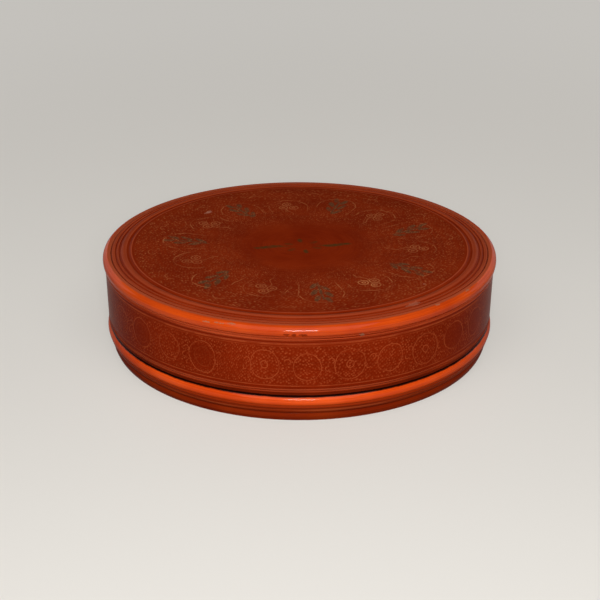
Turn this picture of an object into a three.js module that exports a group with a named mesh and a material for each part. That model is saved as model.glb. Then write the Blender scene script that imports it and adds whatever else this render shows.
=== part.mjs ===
// Low round lacquer box with a deep telescoping lid.
// Every piece is a hoop, coil or disc of bamboo, turned to its profile before it is lacquered.
// Millimetres, +Z up. The origin is the middle of the circle that the box stands on.

import * as THREE from 'three';

// Overall sizes
const LID_RADIUS = 98.9;          // outside of the lid's wall
const HEIGHT = 49.1;              // table to the edge of the plain field, the box's highest ring
const FACETS = 64;                // flats round each turned piece

// Lid
const LID_WALL = 3.3;             // thickness of the coiled wall
const LID_TAPER = 0.15;           // the wall draws in by this much towards the mouth
const RIM_PROUD = 1.1;            // the rounded rim stands out past the wall
const RIM_DEPTH = 8.45;           // height of the rim hoop, mouldings included
const RIM_ROUND_WIDTH = 2.8;      // quarter-round of the rim, across
const RIM_ROUND_DEPTH = 2.7;      // and down
const PANEL_THICKNESS = 3.5;      // top disc
const PANEL_SAG = 1.2;            // its middle has sunk this far below the edge of the plain field
const BORDER_FALL = 0.65;         // fall of the ringed border, from the field to the rim
const BORDER_WIDTH = 10;          // ringed border round the field
const PANEL_LEDGE = 1.4;          // rebate of the rim hoop that carries the disc
const LEDGE_THICKNESS = 1;
const LID_MOUTH_DEPTH = 3.9;      // hoop that binds the lower edge of the lid
const MOUTH_EASE = 0.8;           // rounding of the lid's lowest corner

// Body
const BODY_WALL = 2.8;            // thickness of the collar that the lid slides over
const BODY_HEADROOM = 3;          // between the collar's lip and the lid's top disc
const BODY_MOUTH_DEPTH = 3;       // hoop that binds the collar's lip
const FLOOR_THICKNESS = 3.4;
const FLOOR_RECESS = 1.8;         // the floor is held up off the table by the foot
const SHOULDER_HEIGHT = 13.2;     // ledge that the closed lid comes down on
const SHOULDER_PROUD = 0.5;       // the shoulder bulges past the lid's wall
const SHOULDER_ROUND_WIDTH = 2;   // rounding of the shoulder, in to its ledge
const SHOULDER_ROUND_DEPTH = 3.2;
const SHOULDER_TUCK = 1.1;        // it draws in again under the bulge
const FOOT_HEIGHT = 6.9;
const FOOT_DRAW_IN = 2.3;         // the foot is this much smaller in radius than the lid
const FOOT_RING_WIDTH = 5.3;      // flat underside that the box stands on
const FOOT_EASE = 0.6;            // its outer corner
const FOOT_BEAD_DEPTH = 1.5;

// Fits
const LID_CLEARANCE = 0.6;        // running fit of the lid over the collar, in radius
const GLUE_GAP = 0.3;             // lacquer paste between one hoop and the next, in radius
const SEAT_GAP = 0.3;             // closed lid over the shoulder

// Mouldings
const LINE_DEPTH = 0.35;          // turned lines and grooves
const LINE_WIDTH = 0.45;
const BEAD_PROUD = 0.6;           // small beads under the rim

// Beads under the rim: foot and height as shares of the moulded band, and how far each stands
// out, as a share of a full bead.
const RIM_BEADS = [[0.08, 0.18, 0.6], [0.38, 0.2, 1], [0.66, 0.2, 1]];
const RIM_NECK = 0.9;             // narrow neck between the beads and the quarter-round

// Rings of the top's border: how far in from the rim, as a share of its width, and whether
// each is level, a turned line or a raised ring.
const BORDER_RINGS = [
  [0, 0], [0.17, 0], [0.22, -1], [0.31, 0], [0.4, -1], [0.48, 0],
  [0.54, 1], [0.72, 1], [0.78, 0], [0.92, -1], [1, 0],
];

// Where the sunk field's curve is set out, as shares of its radius.
const FIELD_SHARES = [0.75, 0.5, 0.25, 0];

// Fine beads of the lid's mouth, from its lower corner up, as shares of the hoop's height.
const MOUTH_LINES = [[0.35, 1], [0.5, 0], [0.65, 1], [0.8, 0]];

// Sizes that follow
const lidInside = LID_RADIUS - LID_WALL;
const collarRadius = lidInside - LID_CLEARANCE;
const collarInside = collarRadius - BODY_WALL;
const rimRadius = LID_RADIUS + RIM_PROUD;
const shoulderRadius = LID_RADIUS + SHOULDER_PROUD;
const footRadius = LID_RADIUS - FOOT_DRAW_IN;
const footTopRadius = shoulderRadius - SHOULDER_TUCK;
const footInside = footRadius - FOOT_RING_WIDTH;
const hoopInside = collarRadius + GLUE_GAP;

const rimTop = HEIGHT - BORDER_FALL;
const panelUnderside = HEIGHT - PANEL_THICKNESS;
const rimFoot = rimTop - RIM_DEPTH;
const lidFoot = SHOULDER_HEIGHT + SEAT_GAP;
const mouthTop = lidFoot + LID_MOUTH_DEPTH;
const mouthRadius = LID_RADIUS - LID_TAPER;

const floorTop = FLOOR_RECESS + FLOOR_THICKNESS;
const collarTop = panelUnderside - BODY_HEADROOM;
const collarHoopFoot = collarTop - BODY_MOUTH_DEPTH;

// Finishes, as the lacquer shows them
const engravedLacquer = new THREE.MeshStandardMaterial({ color: 0x7a1e08, roughness: 0.35, metalness: 0 });
const polishedLacquer = new THREE.MeshStandardMaterial({ color: 0xd24a16, roughness: 0.22, metalness: 0 });
const innerLacquer = new THREE.MeshStandardMaterial({ color: 0x6b160a, roughness: 0.4, metalness: 0 });

// Points of an elliptical arc in a profile, from one angle to another, in degrees.
function arc(radius, height, across, up, from, to, steps) {
  return Array.from({ length: steps + 1 }, (_, step) => {
    const angle = THREE.MathUtils.degToRad(from + (to - from) * step / steps);
    return [radius + across * Math.cos(angle), height + up * Math.sin(angle)];
  });
}

// A bead on a wall: its low edge, crest and high edge.
function bead(radius, foot, height, proud) {
  return [[radius, foot], [radius + proud, foot + height / 2], [radius, foot + height]];
}

// A piece turned about the box's axis. Its profile is [radius, height] pairs, and runs
// outwards along the underside, up the outside and back inwards along the top.
function turned(name, material, profile) {
  const outline = profile.map(([radius, height]) => new THREE.Vector2(radius, height));
  if (profile[0][0] > 0) outline.push(outline[0].clone());
  const piece = new THREE.Mesh(new THREE.LatheGeometry(outline, FACETS), material);
  piece.name = name;
  piece.rotation.x = Math.PI / 2;
  return piece;
}

// Top disc of the lid: a plain field, sunk a little in its middle, in a border of turned rings.
function lidTopPanel() {
  const fieldRadius = lidInside - BORDER_WIDTH;
  const rings = BORDER_RINGS.map(([share, relief]) => [
    lidInside - BORDER_WIDTH * share,
    rimTop + BORDER_FALL * share + LINE_DEPTH * relief,
  ]);
  const sunk = level => FIELD_SHARES.map(share =>
    [fieldRadius * share, level - PANEL_SAG * (1 - share ** 2)]);
  return turned('lid_top_panel', engravedLacquer, [
    ...sunk(panelUnderside).reverse(),
    [fieldRadius, panelUnderside],
    [lidInside, panelUnderside],
    ...rings,
    ...sunk(HEIGHT),
  ]);
}

// Rim hoop of the lid: a quarter-round edge over three beads, rebated inside for the top disc.
function lidRimHoop() {
  const roundFoot = rimTop - RIM_ROUND_DEPTH;
  const moulded = roundFoot - rimFoot;
  const ledgeFoot = panelUnderside - LEDGE_THICKNESS;
  const beads = RIM_BEADS.flatMap(([foot, height, share]) =>
    bead(LID_RADIUS, rimFoot + moulded * foot, moulded * height, BEAD_PROUD * share));
  return turned('lid_rim_hoop', polishedLacquer, [
    [lidInside, rimFoot],
    [LID_RADIUS, rimFoot],
    ...beads,
    [rimRadius - LINE_DEPTH, rimFoot + moulded * RIM_NECK],
    ...arc(rimRadius - RIM_ROUND_WIDTH, roundFoot, RIM_ROUND_WIDTH, RIM_ROUND_DEPTH, 0, 90, 6),
    [lidInside + GLUE_GAP, rimTop],
    [lidInside + GLUE_GAP, panelUnderside],
    [lidInside - PANEL_LEDGE, panelUnderside],
    [lidInside - PANEL_LEDGE, ledgeFoot],
    [lidInside, ledgeFoot - PANEL_LEDGE / 2],
  ]);
}

// Wall of the lid: a bamboo strip coiled into a cylinder, glued between its two hoops.
function lidWall() {
  return turned('lid_wall', engravedLacquer, [
    [lidInside, mouthTop],
    [mouthRadius, mouthTop],
    [LID_RADIUS, rimFoot],
    [lidInside, rimFoot],
  ]);
}

// Mouth hoop of the lid: binds its lower edge, with two fine beads and an eased corner.
function lidMouthHoop() {
  const lowRadius = mouthRadius - LINE_DEPTH;
  const lines = MOUTH_LINES.map(([share, cut]) =>
    [mouthRadius - LINE_DEPTH * cut, lidFoot + LID_MOUTH_DEPTH * share]);
  return turned('lid_mouth_hoop', engravedLacquer, [
    [lidInside + LINE_DEPTH, lidFoot],
    ...arc(lowRadius - MOUTH_EASE, lidFoot + MOUTH_EASE, MOUTH_EASE, MOUTH_EASE, 270, 360, 3),
    ...lines,
    [mouthRadius, mouthTop],
    [lidInside, mouthTop],
    [lidInside, lidFoot + LINE_DEPTH],
  ]);
}

// Floor of the body: a disc that lies on the foot's ledge and carries the collar.
function bodyFloor() {
  return turned('body_floor', innerLacquer, [
    [0, FLOOR_RECESS],
    [collarRadius, FLOOR_RECESS],
    [collarRadius, floorTop],
    [0, floorTop],
  ]);
}

// Collar: the coiled wall of the body, which the lid hides when it is closed.
function bodyCollar() {
  return turned('body_collar', innerLacquer, [
    [collarInside, floorTop],
    [collarRadius, floorTop],
    [collarRadius, collarHoopFoot],
    [collarInside, collarHoopFoot],
  ]);
}

// Mouth hoop of the body: the rounded lip of the collar, which leads the lid on.
function bodyMouthHoop() {
  const lip = BODY_WALL / 2;
  return turned('body_mouth_hoop', innerLacquer, [
    [collarInside, collarHoopFoot],
    [collarRadius, collarHoopFoot],
    ...arc(collarInside + lip, collarTop - lip, lip, lip, 0, 180, 6),
  ]);
}

// Shoulder hoop: the bulging band round the foot of the collar that stops the lid.
function shoulderHoop() {
  const bulge = SHOULDER_HEIGHT - SHOULDER_ROUND_DEPTH;
  const underside = arc(footTopRadius, bulge, SHOULDER_TUCK, bulge - FOOT_HEIGHT, 270, 360, 4);
  const upper = arc(shoulderRadius - SHOULDER_ROUND_WIDTH, bulge,
    SHOULDER_ROUND_WIDTH, SHOULDER_ROUND_DEPTH, 0, 90, 6);
  return turned('shoulder_hoop', polishedLacquer, [
    [hoopInside, FOOT_HEIGHT],
    ...underside,
    ...upper.slice(1),
    [hoopInside, SHOULDER_HEIGHT],
  ]);
}

// Foot hoop: two beads over a band that draws in to the flat ring the box stands on.
function footHoop() {
  const face = height => footRadius + (footTopRadius - footRadius) * height / FOOT_HEIGHT;
  const ridge = foot => bead(face(foot) - LINE_DEPTH, foot, FOOT_BEAD_DEPTH, LINE_DEPTH * 1.5);
  const upperBead = FOOT_HEIGHT - LINE_WIDTH - FOOT_BEAD_DEPTH;
  const lowerBead = upperBead - LINE_WIDTH - FOOT_BEAD_DEPTH;
  return turned('foot_hoop', polishedLacquer, [
    [footInside, 0],
    [footRadius - FOOT_EASE, 0],
    [face(FOOT_EASE), FOOT_EASE],
    [face(lowerBead - LINE_WIDTH), lowerBead - LINE_WIDTH],
    ...ridge(lowerBead),
    ...ridge(upperBead),
    [footTopRadius - LINE_DEPTH, FOOT_HEIGHT],
    [hoopInside, FOOT_HEIGHT],
    [hoopInside, FLOOR_RECESS],
    [footInside, FLOOR_RECESS],
  ]);
}

const lid = new THREE.Group();
lid.add(lidTopPanel(), lidRimHoop(), lidWall(), lidMouthHoop());

const body = new THREE.Group();
body.add(bodyFloor(), bodyCollar(), bodyMouthHoop(), shoulderHoop(), footHoop());

const box = new THREE.Group();
box.add(lid, body);

export default box;
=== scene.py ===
from math import cos, pi, radians, sin, tau

import bmesh
import bpy
from mathutils import Matrix, Vector


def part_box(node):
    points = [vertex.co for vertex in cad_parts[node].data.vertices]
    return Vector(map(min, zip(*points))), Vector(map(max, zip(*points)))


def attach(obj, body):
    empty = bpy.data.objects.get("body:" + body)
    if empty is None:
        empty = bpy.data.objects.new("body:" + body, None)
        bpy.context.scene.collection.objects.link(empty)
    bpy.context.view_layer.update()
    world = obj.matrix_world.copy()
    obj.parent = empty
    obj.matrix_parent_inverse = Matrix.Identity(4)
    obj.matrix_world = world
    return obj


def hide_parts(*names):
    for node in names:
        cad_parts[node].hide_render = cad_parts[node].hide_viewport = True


# A low round lacquer box. Its hoops, coils and discs of bamboo are glued with lacquer paste, turned
# to their mouldings, coated red, engraved and polished. Profiles are in millimetres.
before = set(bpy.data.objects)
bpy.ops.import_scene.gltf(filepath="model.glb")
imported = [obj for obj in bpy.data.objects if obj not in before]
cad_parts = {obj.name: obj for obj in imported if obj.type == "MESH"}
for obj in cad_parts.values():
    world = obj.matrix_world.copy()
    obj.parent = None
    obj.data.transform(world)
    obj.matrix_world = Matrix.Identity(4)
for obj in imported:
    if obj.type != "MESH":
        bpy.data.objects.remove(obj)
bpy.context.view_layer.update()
MM = 0.001


# Foot hoop: the band that the box stands on. It is a bamboo hoop glued round the foot of the
# collar, turned to two gentle swells over a taper, and left in plain dark red lacquer.
class Shade:
    """A number that varies over a surface. Sums on it add their Math nodes to its finish."""

    def __init__(self, finish, socket):
        self.finish = finish
        self.socket = socket

    def sum(self, operation, *others):
        inputs = dict(enumerate((self, *others)))
        return self.finish.number("ShaderNodeMath", {"operation": operation}, inputs)

    def __add__(self, other):
        return self.sum("ADD", other)

    __radd__ = __add__

    def __sub__(self, other):
        return self.sum("SUBTRACT", other)

    def __rsub__(self, other):
        return self * -1 + other

    def __mul__(self, other):
        return self.sum("MULTIPLY", other)

    __rmul__ = __mul__

    def __truediv__(self, other):
        return self.sum("DIVIDE", other)

    def __abs__(self):
        return self.sum("ABSOLUTE")

    def over(self, other):
        """The greater of two masks, so that one lies over the other."""
        return self.sum("MAXIMUM", other)

    def rise(self, start, end):
        """0 before the start and 1 past the end, smoothly between. The two may run downwards."""
        span = {0: self, 1: start, 2: end}
        return self.finish.number("ShaderNodeMapRange", {"interpolation_type": "SMOOTHSTEP"}, span)

    def line(self, width, core=0.35):
        """1 along the line where the number is 0, fading out across its width from its core."""
        return abs(self).rise(width, width * core)

    def between(self, low, high, soft=0.15):
        """1 where the number lies between two values."""
        return self.rise(low - soft, low + soft) * self.rise(high + soft, high - soft)


class Finish:
    """The nodes of one finish, as it is mixed."""

    def __init__(self, tree):
        self.tree = tree
        tree.nodes.clear()

    def node(self, kind, settings=None, inputs=None):
        made = self.tree.nodes.new(kind)
        for name, choice in (settings or {}).items():
            setattr(made, name, choice)
        for socket, value in (inputs or {}).items():
            source = getattr(value, "socket", value)
            if isinstance(source, bpy.types.NodeSocket):
                self.tree.links.new(source, made.inputs[socket])
            else:
                made.inputs[socket].default_value = source
        return made

    def number(self, kind, settings=None, inputs=None, output=0):
        return Shade(self, self.node(kind, settings, inputs).outputs[output])

    def blend(self, amount, under, over):
        """One colour laid over another, by how much of it there is."""
        mixed = self.node("ShaderNodeMix", {"data_type": "RGBA"}, {0: amount, 6: under, 7: over})
        return mixed.outputs[2]

    def laid(self, colour, *coats):
        """Coats of colour laid one after another, each with how much of it there is."""
        for amount, code in coats:
            colour = self.blend(amount, colour, paint(code))
        return colour


class Lacquer(Finish):
    """A lacquer, with where each point of it lies on the box, in millimetres and radians."""

    def __init__(self, name):
        self.material = bpy.data.materials.new(name)
        self.material.use_nodes = True
        super().__init__(self.material.node_tree)
        self.place = self.node("ShaderNodeTexCoord").outputs["Object"]
        axes = self.node("ShaderNodeSeparateXYZ", inputs={0: self.place}).outputs
        self.x, self.y, self.height = [Shade(self, axis) / MM for axis in axes]
        self.radius = (self.x * self.x + self.y * self.y).sum("SQRT")
        self.bearing = self.x.sum("ARCTAN2", self.y * -1)

    def clouds(self, size, detail=2.0):
        """Soft random patches of about one size, in millimetres."""
        inputs = {"Vector": self.place, "Scale": 1 / (size * MM), "Detail": detail}
        return self.number("ShaderNodeTexNoise", None, inputs)

    def turning(self, width, wander):
        """Marks that run round the piece, as turning and polishing it leave them: how wide they
        are in millimetres, and how often they change on their way round."""
        inputs = {
            0: self.bearing.sum("COSINE") * wander,
            1: self.bearing.sum("SINE") * wander,
            2: (self.radius - self.height) / width,
        }
        path = self.node("ShaderNodeCombineXYZ", inputs=inputs).outputs[0]
        inputs = {"Vector": path, "Scale": 1.0, "Detail": 3.0}
        return self.number("ShaderNodeTexNoise", None, inputs)

    def dots(self, across, along, spacing=1.3, size=0.5):
        """Dots pricked over a face by hand in slanting rows, some deeper than others. Their size
        is a share of their spacing."""
        level = 0.8
        steep = 0.6
        faintest = 0.2
        slanted = {0: across * level + along * steep, 1: along * level - across * steep}
        face = self.node("ShaderNodeCombineXYZ", inputs=slanted).outputs[0]
        inputs = {"Vector": face, "Scale": 1 / spacing, "Randomness": 0.66}
        dot = self.node("ShaderNodeTexVoronoi", {"voronoi_dimensions": "2D"}, inputs).outputs
        pressed = Shade(self, dot["Color"]).rise(0.1, 0.9) * (1 - faintest) + faintest
        return Shade(self, dot["Distance"]).rise(size, size * 0.25) * pressed

    def chip(self, bearing, radius, height, along, across):
        """A ragged worn place: where it lies, and how far it runs round the box and across."""
        run = (self.bearing - radians(bearing)) * (radius / along)
        out = (self.radius - radius) / across
        up = (self.height - height) / across
        away = (run * run + out * out + up * up).sum("SQRT")
        crumb = 1.1
        raggedness = 2.2
        bare = 1.7
        whole = 2.1
        return (away + self.clouds(crumb) * raggedness).rise(whole, bare)

    def worn(self, places):
        """All the worn places of one kind."""
        marks = self.chip(*places[0])
        for place in places[1:]:
            marks = marks.over(self.chip(*place))
        return marks

    def brush(self, colour, roughness, relief, depth, shine=0.01, gloss=0.0):
        """Lays the finish on: its colour, how rough it is, its relief and how deep that is in
        millimetres, how much it mirrors, and how much clear lacquer lies over it."""
        bump = self.node("ShaderNodeBump", inputs={"Height": relief, "Distance": depth * MM})
        shader = self.node("ShaderNodeBsdfPrincipled", inputs={
            "Base Color": colour,
            "Roughness": roughness,
            "Specular IOR Level": shine,
            "Specular Tint": paint("ffd4a4"),
            "Coat Weight": gloss,
            "Coat Roughness": 0.06,
            "Coat IOR": 2.2,
            "Normal": bump.outputs[0],
        })
        self.node("ShaderNodeOutputMaterial", inputs={"Surface": shader.outputs[0]})
        return self.material


def paint(code):
    """A colour as the eye reads it, from its hexadecimal code, as linear values."""
    seen = [int(code[place:place + 2], 16) / 255 for place in (0, 2, 4)]
    linear = [part / 12.92 if part <= 0.04045 else ((part + 0.055) / 1.055) ** 2.4 for part in seen]
    return (*linear, 1.0)


def measured(node):
    """A turned piece's widest radius, and the heights of its foot and top."""
    low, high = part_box(node)
    return high.x / MM, low.z / MM, high.z / MM


def arc(radius, height, across, up, start, end, steps=10):
    """Points of an elliptical arc in a profile, from one angle to another in degrees."""
    turns = [radians(start + (end - start) * step / steps) for step in range(steps + 1)]
    return [(radius + across * cos(turn), height + up * sin(turn)) for turn in turns]


def bead(radius, foot, height, proud, steps=6):
    """A half-round bead on a wall, from its low edge to its high one."""
    shares = [step / steps for step in range(steps + 1)]
    return [(radius + proud * sin(pi * share), foot + height * share) for share in shares]


def softened(profile, ease, sharp=radians(35), most=0.45):
    """The profile with its sharp corners rounded, as coats of lacquer round them. Each rounding
    takes up at most this share of the faces beside it."""
    soft = []
    for place, corner in enumerate(profile):
        here = Vector(corner)
        back = Vector(profile[place - 1]) - here
        ahead = Vector(profile[(place + 1) % len(profile)]) - here
        if corner[0] == 0 or back.angle(-ahead) < sharp:
            soft.append(here)
            continue
        reach = min(ease, back.length * most, ahead.length * most)
        start = here + back.normalized() * reach
        end = here + ahead.normalized() * reach
        for share in (0, 0.33, 0.67, 1):
            left = 1 - share
            soft.append(start * left ** 2 + here * 2 * share * left + end * share ** 2)
    return soft


def lathe_normals(points, facets):
    """Which way the surface faces at each vertex: long faces stay flat, and corners turn."""
    normals = []
    for place, here in enumerate(points):
        if here.x == 0:
            normals.append(Vector((0, 0, -1 if place == 0 else 1)))
            continue
        facing = Vector((0, 0))
        ahead = points[(place + 1) % len(points)]
        for start, end in ((points[place - 1], here), (here, ahead)):
            along = end - start
            facing += Vector((along.y, -along.x)) * along.length
        facing.normalize()
        for facet in range(facets):
            turn = tau * facet / facets
            normals.append(Vector((facing.x * sin(turn), -facing.x * cos(turn), facing.y)))
    return normals


def turned(name, node, body, finish, profile, ease=0.25, facets=256):
    """A piece turned about the box's axis, in place of its plain node. Its profile is pairs of
    radius and height that run out along the underside, up the outside and back in on top."""
    points = softened(profile, ease)
    form = bmesh.new()
    rings = []
    for point in points:
        bearings = [0] if point.x == 0 else [tau * facet / facets for facet in range(facets)]
        spots = [(point.x * sin(turn), -point.x * cos(turn), point.y) for turn in bearings]
        rings.append([form.verts.new([part * MM for part in spot]) for spot in spots])
    closed = [] if points[0].x == 0 else [(rings[-1], rings[0])]
    for lower, upper in list(zip(rings, rings[1:])) + closed:
        for facet in range(facets):
            corners = [lower[facet % len(lower)], lower[(facet + 1) % len(lower)],
                       upper[(facet + 1) % len(upper)], upper[facet % len(upper)]]
            form.faces.new(dict.fromkeys(corners))
    mesh = bpy.data.meshes.new(name)
    form.to_mesh(mesh)
    form.free()
    mesh.shade_smooth()
    mesh.normals_split_custom_set_from_vertices(lathe_normals(points, facets))
    mesh.materials.append(finish)
    piece = bpy.data.objects.new(name, mesh)
    bpy.context.scene.collection.objects.link(piece)
    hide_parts(node)
    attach(piece, body)


def plain_lacquer(name, deep, bright):
    """Plain polished lacquer: two reds that drift into each other, with marks of the turning."""
    plain = Lacquer(name)
    drift = (plain.clouds(26) * 0.5 + plain.turning(0.45, 1.2) * 0.5).rise(0.34, 0.66)
    return plain, plain.blend(drift, paint(deep), paint(bright))


def polish(plain, colour, roughness, shine, coat):
    """The relief and gloss of plain lacquer over its colour."""
    streaks = 0.16
    rough = plain.turning(0.35, 3.0) * streaks + roughness - streaks / 2
    relief = plain.turning(0.3, 0.8) * 0.6 + plain.clouds(7) * 0.4
    gloss = (plain.clouds(18).rise(0.3, 0.7) * 0.5 + 0.5) * coat
    return plain.brush(colour, rough, relief, 0.04, shine, gloss)


foot_wide, foot_low, foot_high = measured("foot_hoop")
foot_taper = 1.1
foot_ring = 5.3
foot_recess = 1.8
foot_edge = 0.2
foot_swell = 0.4
foot_groove = 4.2
groove_half = 0.25
groove_deep = 0.2
collar_wide = measured("body_collar")[0]
paste = 0.3


def foot_face(height):
    """Radius of the foot's tapering face at a height."""
    return foot_wide - foot_swell - foot_taper * (1 - height / foot_high)


def swell(low, high, steps=8):
    """A gentle bulge of the foot's face between two heights."""
    shares = [step / steps for step in range(steps + 1)]
    heights = [low + (high - low) * share for share in shares]
    return [(foot_face(height) + foot_swell * sin(pi * share), height)
            for share, height in zip(shares, heights)]


foot_profile = [
    (foot_face(0) - foot_ring, foot_low),
    (foot_face(0) - foot_edge * 1.5, foot_low),
    *arc(foot_face(0) - foot_edge, foot_edge, foot_edge, foot_edge, 285, 345, 3),
    *swell(foot_edge * 2, foot_groove - groove_half),
    (foot_face(foot_groove) - groove_deep, foot_groove),
    *swell(foot_groove + groove_half, foot_high - groove_half),
    (foot_face(foot_high) - groove_deep, foot_high),
    (collar_wide + paste, foot_high),
    (collar_wide + paste, foot_recess),
    (foot_face(0) - foot_ring, foot_recess),
]
foot_lacquer, foot_colour = plain_lacquer("foot_lacquer", "701903", "842908")
foot_lines = (foot_lacquer.height - foot_groove).line(0.45)
foot_lines = foot_lines.over((foot_lacquer.height - foot_high).line(0.5))
rubbed_height = 5.7
foot_rubbed = (foot_lacquer.height - rubbed_height).line(0.7)
foot_rubbed = foot_rubbed * foot_lacquer.turning(0.5, 2.0).rise(0.35, 0.6)
foot_colour = foot_lacquer.laid(
    foot_colour,
    (foot_lines * 0.5, "4a1004"),
    (foot_rubbed * 0.35, "a0502c"),
)
foot_finish = polish(foot_lacquer, foot_colour, roughness=0.34, shine=0.005, coat=0.01)
turned("foot_hoop_turned", "foot_hoop", "base", foot_finish, foot_profile)


# Floor: a disc of coiled bamboo strip that lies on the foot's ledge. It is smoothed with paste
# and coated dark red inside, and left nearly black underneath, where the box is handled.
floor_wide, floor_low, floor_high = measured("body_floor")
coil_pitch = 2.6


def inner_lacquer(name, deep, bright):
    """Thinner lacquer of the inside, where the coiled bamboo still reads through as faint rings."""
    plain = Lacquer(name)
    coils = ((plain.radius + plain.height) / coil_pitch * tau).sum("SINE") * 0.5 + 0.5
    drift = (plain.clouds(30) * 0.7 + plain.turning(0.6, 1.0) * 0.3).rise(0.35, 0.65)
    colour = plain.blend(drift, paint(deep), paint(bright))
    underneath = plain.height.rise(floor_low + 0.6, floor_low + 0.2)
    inside_foot = plain.radius.rise(floor_wide - 0.3, floor_wide - 0.6)
    colour = plain.laid(colour, (underneath * inside_foot, "2a1009"))
    rough = plain.clouds(9) * 0.2 + 0.24
    relief = coils * 0.5 + plain.clouds(5) * 0.5
    return plain.brush(colour, rough, relief, 0.06, shine=0.05, gloss=0.03)


inside_red = inner_lacquer("inside_lacquer", "6a140a", "86200e")
floor_profile = [(0, floor_low), (floor_wide, floor_low), (floor_wide, floor_high), (0, floor_high)]
turned("body_floor_disc", "body_floor", "base", inside_red, floor_profile)


# Collar: the coiled wall of the body, which the closed lid hides. It is a bamboo strip wound
# into a cylinder, thin and true, so that the lid slides down over it with a breath of air.
collar_low, collar_high = measured("body_collar")[1:]
collar_wall = 2.8
fine_ease = 0.1
collar_profile = [
    (collar_wide - collar_wall, collar_low),
    (collar_wide, collar_low),
    (collar_wide, collar_high),
    (collar_wide - collar_wall, collar_high),
]
turned("body_collar_wall", "body_collar", "base", inside_red, collar_profile,
       fine_ease)


# Collar's lip: a thin hoop bound round the collar's mouth, rounded over to lead the lid on.
# Its red is a little brighter than the collar's, and it is polished by the lid.
lip_wide, lip_low, lip_high = measured("body_mouth_hoop")
lip_half = collar_wall / 2
lip_profile = [
    (lip_wide - collar_wall, lip_low),
    (lip_wide, lip_low),
    *arc(lip_wide - lip_half, lip_high - lip_half, lip_half, lip_half, 0, 180, 14),
]
lip_lacquer, lip_colour = plain_lacquer("lip_lacquer", "84200a", "a63412")
lip_finish = polish(lip_lacquer, lip_colour, roughness=0.26, shine=0.03, coat=0.1)
turned("body_lip", "body_mouth_hoop", "base", lip_finish, lip_profile, fine_ease)


# Shoulder hoop: the bulging band that stops the lid. Its upper part is bright orange-red, where
# hands polish it. It darkens to a fine bead below, and painted shade darkens its top under the
# lid's edge, in the gap between them.
shoulder_wide, shoulder_low, shoulder_high = measured("shoulder_hoop")
shoulder_bulge = shoulder_high - 3.2
shoulder_round = 2.0
shoulder_belly = 0.5
shoulder_bead = 1.6
bead_proud = 0.35
bead_in = 0.9
shoulder_groove = shoulder_low + shoulder_bead + groove_half
shoulder_profile = [
    (collar_wide + paste, shoulder_low),
    *bead(shoulder_wide - bead_in, shoulder_low + 0.1, shoulder_bead, bead_proud),
    (shoulder_wide - bead_in + 0.15, shoulder_groove),
    *arc(shoulder_wide - shoulder_belly, shoulder_bulge, shoulder_belly,
         shoulder_bulge - shoulder_groove, 290, 360),
    *arc(shoulder_wide - shoulder_round, shoulder_bulge, shoulder_round,
         shoulder_high - shoulder_bulge, 9, 90),
    (collar_wide + paste, shoulder_high),
]
shoulder_lacquer, shoulder_colour = plain_lacquer("shoulder_lacquer", "bc380a", "da4e14")
darker = shoulder_lacquer.height + shoulder_lacquer.turning(0.5, 1.5) * 0.8
darker = darker.rise(shoulder_bulge + 1.3, shoulder_groove - 0.7)
creases = (shoulder_lacquer.height - shoulder_groove).line(0.4) * 0.4
creases = creases.over((shoulder_lacquer.height - shoulder_low).line(0.5) * 0.5)
# Painted shade: the shoulder's top, in the gap under the lid's edge, is darkened as shadow.
painted_gap_shade = shoulder_lacquer.height + shoulder_lacquer.clouds(4) * 0.3
painted_gap_shade = painted_gap_shade.rise(shoulder_high - 0.55, shoulder_high - 0.1)
shoulder_colour = shoulder_lacquer.laid(
    shoulder_colour,
    (darker, "86280a"),
    (creases.over(painted_gap_shade), "200804"),
)
handled = shoulder_lacquer.height.rise(shoulder_bulge - 1.0, shoulder_bulge + 0.6)
shoulder_finish = polish(shoulder_lacquer, shoulder_colour, roughness=0.34, shine=0.01,
                         coat=handled * 0.1)
turned("shoulder_band", "shoulder_hoop", "base", shoulder_finish,
       shoulder_profile)


# Lid's mouth hoop: binds the lid's lower edge. It is turned to two fine beads, and its lowest
# corner is eased. Painted shade darkens its lower part a little and its lowest corner deeply, so
# that a dark gap shows between it and the shoulder.
wall_wide, wall_low, wall_high = measured("lid_wall")
wall_thick = 3.3
lid_inside = wall_wide - wall_thick
mouth_wide, mouth_low, mouth_high = measured("lid_mouth_hoop")
line_deep = 0.35
mouth_face = mouth_wide - line_deep
corner_wide = 1.3
corner_high = 0.7
mouth_bead = 1.0


def engraved_ground(name, deep, bright):
    """Dark red lacquer for engraving, with its drifting ground colour."""
    ground = Lacquer(name)
    drift = (ground.clouds(22) * 0.6 + ground.turning(0.8, 1.5) * 0.4).rise(0.35, 0.65)
    return ground, ground.blend(drift, paint(deep), paint(bright))


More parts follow.
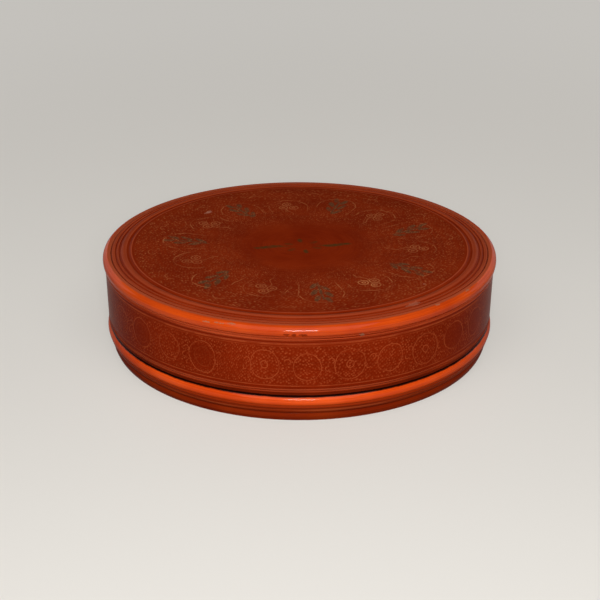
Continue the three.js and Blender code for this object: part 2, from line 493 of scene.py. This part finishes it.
mouth_lacquer, mouth_colour = engraved_ground("mouth_lacquer", "671903", "7d2306")
mouth_up = mouth_lacquer.height - mouth_low
mouth_rubbed = mouth_lacquer.turning(0.6, 2.5).rise(0.3, 0.6)
mouth_lines = (mouth_up - 3.4).line(0.6).over((mouth_up - 2.5).line(0.35))
# Painted shade: the hoop's lower part, and most of all its lowest corner, are darkened as the
# shadow of the gap above the shoulder.
mouth_edge = mouth_up + mouth_lacquer.clouds(5) * 0.4
mouth_painted_shade = (mouth_edge.rise(2.4, 1.8) * 0.3).over(mouth_edge.rise(0.65, 0.35))
mouth_colour = mouth_lacquer.laid(
    mouth_colour,
    (mouth_lines * mouth_rubbed * 0.35, "b0502e"),
    (mouth_painted_shade, "1c0703"),
)
mouth_rough = mouth_lacquer.clouds(8) * 0.14 + 0.3
mouth_relief = mouth_lacquer.turning(0.4, 1.0)
mouth_finish = mouth_lacquer.brush(mouth_colour, mouth_rough, mouth_relief, 0.05)
mouth_profile = [
    (lid_inside + line_deep, mouth_low),
    *arc(mouth_face - corner_wide, mouth_low + corner_high, corner_wide, corner_high, 270, 360, 8),
    (mouth_face, mouth_low + 1.2),
    *bead(mouth_face, mouth_low + 1.5, mouth_bead, line_deep),
    *bead(mouth_face, mouth_low + 2.7, mouth_bead, line_deep),
    (mouth_wide - 0.1, mouth_high),
    (lid_inside, mouth_high),
    (lid_inside, mouth_low + line_deep),
]
turned("lid_mouth_band", "lid_mouth_hoop", "lid", mouth_finish, mouth_profile)


# Lid's wall: a bamboo strip coiled into a cylinder. Its frieze is cut through the lacquer with
# a stylus: ringed roundels and ovals on a ground of fine dots, rubbed with paler colour. The
# hand that cut it crowded the roundels a little on one side.
frieze, frieze_colour = engraved_ground("frieze_lacquer", "6e1903", "7c1f05")
frieze_low = wall_low + 1.5
frieze_high = wall_high - 0.3
frieze_middle = (frieze_low + frieze_high) / 2 - 0.4
roundels = 16
roundel_gap = tau / roundels
first_roundel = radians(13.4)
roundel_round = 7.2
roundel_eye = 1.7
roundel_ring = 4.6
oval_round = 6.8
outline = 0.32
inner_line = 0.34
plain_ring = 0.35
rubbed_in = 0.44
crowding = radians(5.5)
crowded = frieze.bearing.rise(radians(-10), radians(-27))
crowded = crowded * frieze.bearing.rise(radians(-170), radians(-100))
drawn = frieze.bearing - crowded * crowding
sway = (frieze.clouds(7) - 0.5) * 1.6
up = frieze.height - frieze_middle + sway


def along_frieze(start, gap):
    """How far a point lies from the nearest of the motifs spaced round the wall, and its number."""
    turn = drawn - start
    number = (turn / gap).sum("ROUND")
    return (turn - number * gap) * wall_wide + sway, number


def far_from(across, along):
    """Distance from a point of a motif."""
    return (across * across + along * along).sum("SQRT")


# Roundels: most have an eye, and some are smoother with a faint inner ring.
aside, number = along_frieze(first_roundel, roundel_gap)
uneven = (number * 2.4).sum("SINE")
reach = far_from(aside, (up + uneven * 0.5) * 0.95)
plain = abs((number / 5).sum("FRACT") - 0.5).rise(0.2, 0.15)
roundel = (reach - uneven * 0.4 - roundel_round).line(outline)
roundel = roundel.over((reach - roundel_eye).line(inner_line) * (1 - plain))
roundel = roundel.over((reach - roundel_ring).line(inner_line) * plain * plain_ring)
smooth = reach.rise(7.0, 6.2) * plain

# Ovals between the roundels: one is wider and smooth, and one is left out where they crowd.
aside, number = along_frieze(first_roundel + roundel_gap / 2, roundel_gap)
plain = ((number - 1) / 8).sum("FRACT").rise(0.1, 0.05)
room = 1 - frieze.bearing.between(radians(-24), radians(-13), radians(1))
egg = far_from(aside / (0.92 + plain * 0.14), up - (number * 1.7).sum("SINE") * 0.5)
oval = (egg - oval_round).line(outline) * room
smooth = smooth.over(egg.rise(oval_round, oval_round - 0.8) * plain)

# Curls: a small open arc over and one under, in each space that is left.
aside, number = along_frieze(first_roundel + roundel_gap / 4, roundel_gap / 2)
curl_high = (far_from(aside - 0.9, up - 2.2) - 1.3).line(outline)
curl_high = curl_high * (aside + up - 2.6).rise(-0.8, 0.0)
curl_low = (far_from(aside + 0.6, up + 1.6) - 1.2).line(outline)
curl_low = curl_low * (aside + up + 2.6).rise(0.8, 0.0)

# The ground's dots, the lines along both edges, and the paler colour rubbed into what is cut.
inside_frieze = frieze.height.between(frieze_low + 0.7, frieze_high - 0.9)
dots = frieze.dots(drawn * wall_wide + sway, frieze.height + sway)
dots = dots * inside_frieze * (1 - smooth * 0.6) * (frieze.clouds(5).rise(0.3, 0.6) * 0.4 + 0.6)
borders = (frieze.height - frieze_low).line(0.35).over((frieze.height - frieze_high).line(0.45))
borders = borders.over((frieze.height - frieze_high + 1.0).line(0.3) * 0.5)
cut = roundel.over(oval).over(curl_high.over(curl_low)).over(borders)
rubbed = frieze.clouds(9).rise(0.3, 0.6) * 0.7 + 0.3
pale = (cut * rubbed_in * rubbed).over(dots * rubbed_in)
pale = pale * frieze.radius.rise(lid_inside + 1, lid_inside + 2)
frieze_colour = frieze.laid(frieze_colour, (smooth * 0.12, "5e1203"), (pale, "b4542c"))
frieze_relief = frieze.clouds(3) * 0.2 - cut.over(dots)
frieze_finish = frieze.brush(frieze_colour, pale * 0.2 + 0.3, frieze_relief, 0.04)
wall_profile = [
    (lid_inside, wall_low),
    (wall_wide - 0.15, wall_low),
    (wall_wide, wall_high),
    (lid_inside, wall_high),
]
turned("lid_wall_coil", "lid_wall", "lid", frieze_finish, wall_profile, 0.2)


# Lid's rim hoop: the thick hoop at the lid's edge, which the top disc is let into. Fine beads
# run under a bright rounded edge, whose polish is scuffed, nicked and chipped at a few places.
rim_wide, rim_low, rim_high = measured("lid_rim_hoop")
panel_low = rim_high - 2.85
rim_round = 2.8
rim_drop = 2.7
rim_foot = rim_high - rim_drop
rim_lip = 0.4
rim_step = rim_low + 3.9
ledge_in = 1.4
ledge_low = panel_low - 1.0

# The beads are darker than the edge, and the seam with the disc is duller.
rim, rim_colour = plain_lacquer("rim_lacquer", "b03408", "cc4a0f")
beads_drift = rim.turning(0.25, 2.0).rise(0.35, 0.6)
beads_low = rim.height.rise(rim_low + 1.5, rim_low + 1.0)
beads_colour = rim.laid(
    rim.blend(beads_drift, paint("7e2006"), paint("a84220")),
    (beads_low, "741b04"),
    ((rim.height - rim_low).line(0.5) * 0.4, "b8502e"),
)
ragged = rim.clouds(5) * 0.8 + rim.turning(0.5, 3.0) * 0.8
beaded = (rim.height + ragged - 0.8).rise(rim_step + 0.1, rim_step - 0.5)
rim_colour = rim.blend(beaded, rim_colour, beads_colour)
rim_inner = rim_wide - rim_round
seam = (rim.radius + ragged * 0.6).rise(rim_inner + 1.4, rim_inner + 0.3)

# Wear: each place has its bearing in degrees, radius and height, and its length and width.
scuffs = rim.worn([
    (-24.5, 99.7, 46.9, 2.2, 0.4), (-21.0, 99.4, 47.3, 2.6, 0.35), (-17.6, 99.0, 47.8, 2.4, 0.45),
    (40.2, 97.8, 48.3, 1.4, 0.7), (53.6, 98.0, 48.3, 2.2, 0.6), (152, 99.2, 47.4, 2.4, 0.6),
    (-118, 99.8, 46.3, 1.8, 0.6), (104, 98.6, 48.0, 2.4, 0.5),
])
nicks = rim.worn([
    (-3.2, 100, 44.9, 2.6, 0.6), (-1.4, 100, 44.8, 1.4, 0.7), (0.9, 100, 44.9, 2.6, 0.65),
    (171, 99.9, 45.2, 1.2, 0.6),
])
chips = rim.worn([(16.3, 99.2, 42.8, 1.6, 0.8), (-96, 99.3, 42.4, 1.4, 0.7)])
rim_colour = rim.laid(
    rim_colour,
    (seam * (1 - beaded), "a4482a"),
    (scuffs * 0.6, "8c6a50"),
    (nicks * 0.8, "6e1c06"),
    (chips * 0.8, "7c5844"),
)
marks = scuffs.over(nicks).over(chips)
rim_relief = rim.turning(0.3, 0.8) * 0.05 + rim.clouds(6) * 0.12 - marks
rim_rough = rim.turning(0.35, 3.0) * 0.12 + 0.12 + marks * 0.4
rim_gloss = (rim.clouds(18).rise(0.3, 0.7) * 0.03 + 0.08) * (1 - beaded) * (1 - marks)
rim_finish = rim.brush(rim_colour, rim_rough, rim_relief, 0.05, gloss=rim_gloss)
rim_profile = [
    (lid_inside, rim_low),
    (wall_wide, rim_low),
    (wall_wide, rim_low + 1.0),
    *bead(wall_wide, rim_low + 1.4, 0.9, 0.4),
    *bead(wall_wide, rim_low + 2.5, 1.0, 0.5),
    (wall_wide + 0.1, rim_low + 3.7),
    (rim_wide - rim_lip - 0.15, rim_step - 0.1),
    *arc(rim_wide - rim_lip, rim_foot, rim_lip, rim_foot - rim_step - 0.1, 290, 350, 6),
    *arc(rim_inner, rim_foot, rim_round, rim_drop, 0, 90, 14),
    (lid_inside + paste, rim_high),
    (lid_inside + paste, panel_low),
    (lid_inside - ledge_in, panel_low),
    (lid_inside - ledge_in, ledge_low),
    (lid_inside, ledge_low - ledge_in / 2),
]
turned("lid_rim_band", "lid_rim_hoop", "lid", rim_finish, rim_profile, 0.15)


# Lid's top disc: coiled bamboo let into the rim hoop, sunk a little in its middle. Turned rings
# border a field of petals, drawn just off the middle, which hold leafy sprays in a dark,
# greenish brown and small trefoils by turns.
top_wide = measured("lid_top_panel")[0]
border_width = 10
field_wide = top_wide - border_width
border_fall = 0.65
field_edge = rim_high + border_fall
sag = 1.2
top, top_colour = engraved_ground("top_lacquer", "731c04", "822608")

# Where a point lies in the pattern, and in the petal that is nearest to it.
off_x = 1.7
off_y = -2.0
drawn_x = top.x - off_x
drawn_y = top.y * -1 + off_y
middle = far_from(drawn_x, drawn_y)
drawn = drawn_x.sum("ARCTAN2", drawn_y)
petals = 14
petal_gap = tau / petals
first_petal = radians(8)
petal_heel = 57
spray_longer = 4.5
petal_round = 10.8
petal_line = 0.36
turn = drawn - first_petal
number = (turn / petal_gap).sum("ROUND")
light = (number / 2).sum("FRACT") * 2
turn = turn - number * petal_gap
aside = middle * turn.sum("SINE")
out = middle * turn.sum("COSINE")

# The petals' outlines, and small scrolls between their outer ends.
heel = out - petal_heel - spray_longer * (1 - light)
wobble = (top.clouds(7) - 0.5) * 2.2
pinch = (heel * -0.16).over(0)
petal = (far_from(aside, heel.over(0)) - petal_round + pinch + wobble).line(petal_line)
petal = petal * out.rise(45, 55) * (top.clouds(7).rise(0.4, 0.58) * 0.8 + 0.2)
scroll_aside = 16.6
scroll_out = 73.5
scroll_round = 3.2
scroll = far_from(abs(aside) - scroll_aside, out - scroll_out) - scroll_round
scroll = (scroll + wobble).line(petal_line) * middle.rise(75, 77)


def ring(across, along, size, width=0.42):
    """A ring cut in a petal, at a place across it and out from the middle of the lid."""
    return (far_from(aside - across, out - along) - size + wobble * 0.5).line(width)


leaf_edge = (top.clouds(1.6) - 0.5) * 1.8
lean = (number * 2.1).sum("SINE") * 0.22


def leaf_shape(across, along, length, width, tilt):
    """A leaf filled in a petal, at a place across and out, tilted from the spray's middle line."""
    x = aside - across - (out - 60) * lean
    y = out - along
    slant = radians(tilt)
    lengthways = (x * sin(slant) + y * cos(slant)) / length
    sideways = (x * cos(slant) - y * sin(slant)) / width
    return (lengthways * lengthways + sideways * sideways + leaf_edge).rise(1.3, 0.75)


# Trefoils on a stalk and leafy sprays by turns. One trefoil at the front is cut more clearly.
trefoil = ring(-2.8, 56, 2.4).over(ring(2.8, 57, 2.3)).over(ring(0.4, 61.6, 2.2))
trefoil = trefoil.over(ring(-2.6, 56, 0.8)).over(ring(2.9, 57, 0.7)).over(ring(0.2, 61.4, 0.7))
stalk = (aside - (out * 0.5).sum("SINE") * 1.4).line(petal_line) * out.between(45, 55, 0.5)
clearest = far_from(top.x - 29, top.y + 53).rise(9, 5) * 0.8
trefoil = trefoil.over(stalk) * light * (0.85 + clearest)
leaves = [
    (0.0, 59.0, 10.0, 0.8, 0), (-2.6, 52.6, 3.8, 1.3, -30), (2.6, 55.4, 3.4, 1.3, 28),
    (-3.2, 60.2, 4.0, 1.4, -24), (3.2, 63.0, 3.6, 1.5, 24), (-2.6, 67.4, 3.4, 1.5, -16),
    (2.2, 69.6, 3.2, 1.4, 16),
]
spray = leaf_shape(*leaves[0])
for spray_leaf in leaves[1:]:
    spray = spray.over(leaf_shape(*spray_leaf))
spray = spray * (1 - light) * (top.clouds(4).rise(0.3, 0.6) * 0.5 + 0.5)

# Ornament in the middle: two long leaves, their stem and a worn star with six arms.
leaf_from_middle = 17.2
leaf_half_long = 7.8
leaf_half_wide = 1.8
across_leaf = drawn_y + drawn_x * 0.1 + (drawn_x * 0.35).sum("SINE") * 0.7
across_leaf = across_leaf / leaf_half_wide
far_leaf = (abs(drawn_x) - leaf_from_middle) / leaf_half_long
centre_leaf = far_leaf * far_leaf + across_leaf * across_leaf + leaf_edge * 0.3
centre_leaf = centre_leaf.rise(1.3, 0.7)
stem = (across_leaf * 1.6).line(1.1) * abs(drawn_x).between(7, 13, 1.5) * 0.4
sixth = tau / 6
arm_turn = 0.2
arm_from_middle = 7.6
arm_half_long = 2.5
arm_half_wide = 1.3
arm = drawn - arm_turn
strong = abs(arm.sum("COSINE"))
arm = arm - (arm / sixth).sum("ROUND") * sixth
arm_out = (middle * arm.sum("COSINE") - arm_from_middle) / arm_half_long
arm_aside = middle * arm.sum("SINE") / arm_half_wide
star = (arm_out * arm_out + arm_aside * arm_aside + leaf_edge * 0.4).rise(1.2, 0.7)
worn_ink = top.clouds(2.4).rise(0.3, 0.62) * 0.5 + 0.5
ornament = centre_leaf.over(stem).over(star * (strong * strong * 0.55 + 0.45)) * worn_ink

# The field's dots, the lines and rubbed bands of the border, and a few worn places.
field = top.radius.rise(field_wide - 1, field_wide - 1.8)
dotted_radius = 56
ground_dots = top.dots(drawn * dotted_radius, middle) * middle.rise(20, 46)
ground_dots = ground_dots * (top.clouds(2.2).rise(0.38, 0.62) * 0.75 + 0.25)
rubbed = top.clouds(18).rise(0.25, 0.6) * 0.5 + 0.5
pale = petal.over(trefoil).over(scroll * 0.7).over(ground_dots * 0.9) * rubbed * field
border = (top.radius - field_wide).line(0.5)
bands = [(0.15, 1.6, 0.8), (2.7, 3.4, 0.6), (4.9, 7.4, 0.7)]
for low, high, share in bands:
    border = border.over(top.radius.between(top_wide - high, top_wide - low, 0.2) * share)
    border = border.over((top.radius - top_wide + high).line(0.3))
border = border * (top.turning(0.22, 1.5).rise(0.2, 0.6) * 0.5 + 0.5)
smear = top.chip(34.6, 91.5, 48.7, 4.6, 1.6)
nick = top.worn([(-132.3, 67.5, 48.6, 2.6, 1.5), (48.4, 79, 49, 0.7, 0.7)])
below = top.height.rise(panel_low + 0.4, panel_low + 0.1)
top_colour = top.laid(
    top_colour,
    (spray * field * 0.75, "523e28"),
    (ornament * 0.85, "463216"),
    (pale * 0.66, "b46a3e"),
    (border * 0.62, "b05030"),
    (smear * 0.35, "9c6a54"),
    (nick * 0.6, "b88068"),
    (below, "7a1c0c"),
)
cut = petal.over(trefoil).over(ground_dots * 0.3).over(spray.over(ornament) * 0.5) * field
top_relief = top.clouds(9) * 0.35 + top.turning(0.3, 1.0) * 0.2 * (1 - field) - cut
top_rough = top.clouds(12) * 0.14 + pale * 0.15 + 0.26
top_finish = top.brush(top_colour, top_rough, top_relief, 0.04, shine=0.005)


def border_level(inwards):
    """Height of the border's sloping face, this far in from its edge."""
    return rim_high + border_fall * inwards / border_width


def raised(inwards, width, proud, steps=6):
    """A ring turned on the border, or a line cut in it where it stands below."""
    shares = [step / steps for step in range(steps + 1)]
    return [(top_wide - inwards - width * share,
             border_level(inwards + width * share) + proud * sin(pi * share)) for share in shares]


def sunk(level, shares):
    """The field's dished face, at shares of its radius."""
    return [(field_wide * share, level - sag * (1 - share ** 2)) for share in shares]


field_shares = (0.95, 0.9, 0.8, 0.7, 0.6, 0.5, 0.4, 0.3, 0.2, 0.1, 0)
top_profile = [
    *sunk(panel_low, reversed(field_shares)),
    (field_wide, panel_low),
    (top_wide, panel_low),
    (top_wide, rim_high),
    *raised(0.3, 1.4, 0.12),
    *raised(1.75, 0.9, -line_deep),
    *raised(2.7, 0.8, 0.1),
    *raised(3.55, 1.0, -line_deep),
    *raised(4.8, 2.7, line_deep, 10),
    *raised(7.6, 1.9, -line_deep * 0.7),
    *raised(9.55, 0.4, 0.02),
    *sunk(field_edge, field_shares),
]
turned("lid_top_disc", "lid_top_panel", "lid", top_finish, top_profile, 0.12)


# Stage: a plain pale floor, soft lamps and a room that is pale at the horizon and dim above. The
# floor is pale where it is seen or mirrored, also far off, and sheds little light on the box.
def softbox(name, place, width, height, power):
    """An oblong lamp that faces the box."""
    lamp = bpy.data.lights.new(name, "AREA")
    lamp.shape = "RECTANGLE"
    lamp.size = width
    lamp.size_y = height
    lamp.energy = power
    stand = bpy.data.objects.new(name, lamp)
    stand.location = place
    stand.rotation_euler = (-Vector(place)).to_track_quat("-Z", "Y").to_euler()
    stand.visible_camera = False
    bpy.context.scene.collection.objects.link(stand)


floor_half = 4.0
near = 0.25
far = 0.9
floor_paper = bpy.data.materials.new("studio_floor")
floor_paper.use_nodes = True
paper = Finish(floor_paper.node_tree)
rays = paper.node("ShaderNodeLightPath").outputs
seen = Shade(paper, rays["Is Camera Ray"]).over(Shade(paper, rays["Is Glossy Ray"]))
seen = seen.over(Shade(paper, rays["Is Transmission Ray"]))
spot = paper.node("ShaderNodeTexCoord").outputs["Object"]
away = paper.node("ShaderNodeVectorMath", {"operation": "LENGTH"}, {0: spot}).outputs["Value"]
far_off = Shade(paper, away).rise(near, far)
paper_face = paper.blend(far_off, paint("a6a39e"), paint("4c4b49"))
paper_glow = paper.blend(far_off, paint("a6a39e"), paint("bfbcb7"))
paper_shader = paper.node("ShaderNodeBsdfPrincipled", inputs={
    "Base Color": paper.blend(seen, paint("403e3c"), paper_face),
    "Roughness": 0.85,
    "Specular IOR Level": 0.0,
    "Emission Color": paper.blend(seen, paint("000000"), paper_glow),
    "Emission Strength": 1.0,
})
paper.node("ShaderNodeOutputMaterial", inputs={"Surface": paper_shader.outputs[0]})
floor_mesh = bpy.data.meshes.new("studio_floor")
floor_corners = [(-floor_half, -floor_half, 0), (floor_half, -floor_half, 0),
                 (floor_half, floor_half, 0), (-floor_half, floor_half, 0)]
floor_mesh.from_pydata(floor_corners, [], [(0, 1, 2, 3)])
floor_mesh.materials.append(floor_paper)
studio_floor = bpy.data.objects.new("studio_floor", floor_mesh)
bpy.context.scene.collection.objects.link(studio_floor)

# Lamps: where each stands in metres, how wide and high it is, and its power in watts.
softbox("key_lamp", (0, -0.4, 0.42), 0.7, 0.7, 2.35)
softbox("front_lamp", (0.015, -0.88, 0.39), 0.26, 0.08, 5.6)
softbox("left_lamp", (-0.8, 0.75, 0.38), 1.0, 0.6, 2.3)
softbox("right_lamp", (0.8, 0.75, 0.38), 1.0, 0.6, 2.3)

room = bpy.data.worlds.new("studio_room")
room.use_nodes = True
bpy.context.scene.world = room
air = Finish(room.node_tree)
skyward = air.node("ShaderNodeTexCoord").outputs["Generated"]
skyward = Shade(air, air.node("ShaderNodeSeparateXYZ", inputs={0: skyward}).outputs[2])
room_colour = air.blend(skyward.rise(0.02, 0.14), paint("c0bdb8"), paint("3a3937"))
glow = air.node("ShaderNodeBackground", inputs={"Color": room_colour, "Strength": 1.0})
air.node("ShaderNodeOutputWorld", inputs={"Surface": glow.outputs[0]})

# Camera: it stands where the fitted rings and foot of the photo put it, 0.64 m from the box and
# looking 24 degrees down.
lens = bpy.data.cameras.new("camera")
lens.lens = 72
lens.sensor_width = 36
camera = bpy.data.objects.new("camera", lens)
camera.matrix_world = (
    Matrix.Translation((0.0003, -0.5728, 0.2754))
    @ Matrix.Rotation(radians(65.69), 4, "X")
    @ Matrix.Rotation(radians(0.16), 4, "Z")
)
bpy.context.scene.collection.objects.link(camera)
bpy.context.scene.camera = camera
bpy.context.scene.view_settings.view_transform = "Standard"
